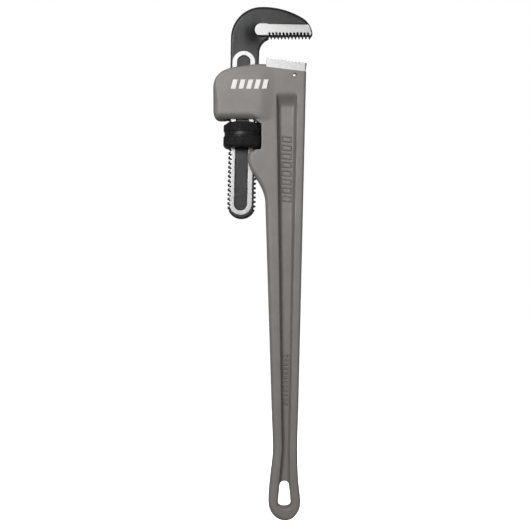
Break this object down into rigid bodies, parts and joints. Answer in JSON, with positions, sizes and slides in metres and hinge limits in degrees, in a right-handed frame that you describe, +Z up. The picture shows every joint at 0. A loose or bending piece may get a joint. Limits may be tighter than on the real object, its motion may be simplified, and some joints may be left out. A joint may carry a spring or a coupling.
{
  "type": "pipe wrench",
  "caption": "Straight pipe wrench: an I-beam handle with a toothed heel jaw, and a threaded hook jaw that a knurled nut raises and lowers.",
  "frame": {"origin": "middle of the hand grip, where the handle is narrowest, on the casting's mid-plane", "axes": "+Z up the handle to the jaws, +X to the outer end of the jaws, -Y out of the front face"},
  "size_m": [0.1629, 0.065, 0.8433],
  "materials": {
    "cast_handle": "sand-cast, coated warm grey, satin",
    "forged_jaw": "drop forged with dark oxide, ground bright on the flats",
    "dark_nut": "knurled, dark oxide",
    "bright_jaw": "ground bright",
    "bright_pin": "ground bright",
    "spring_steel": "tempered, blue-grey",
    "rivet_steel": "plain steel"
  },
  "bodies": {
    "handle": {"handle": "cast_handle", "heel_jaw": "bright_jaw", "heel_jaw_pin": "bright_pin", "spring_rivet": "rivet_steel"},
    "spring_set": {"flat_spring": "spring_steel", "coil_spring": "spring_steel"},
    "hook_jaw": {"hook_jaw": "forged_jaw"},
    "adjusting_nut": {"adjusting_nut": "dark_nut"}
  },
  "joints": [
    {"name": "jaw_rock", "type": "hinge", "parent": "handle", "child": "spring_set", "pos_m": [-0.06929, 0, 0.5143], "axis": [0, 1, 0], "range_deg": [-1.25, 1.25], "stiffness_Nm_per_rad": 120, "deforming": ["flat_spring", "coil_spring"]},
    {"name": "nut_spin", "type": "hinge", "parent": "spring_set", "child": "adjusting_nut", "pos_m": [-0.06929, 0, 0.5143], "axis": [0.0236, 0, 0.9997], "range_deg": [-5040, 1404]},
    {"name": "jaw_slide", "type": "slide", "parent": "spring_set", "child": "hook_jaw", "axis": [0.0236, 0, 0.9997], "range_m": [-0.02935, 0.1051]}
  ],
  "couplings": [
    {"joint": "jaw_slide", "follows": "nut_spin", "m_per_rad": -0.0011937}
  ]
}
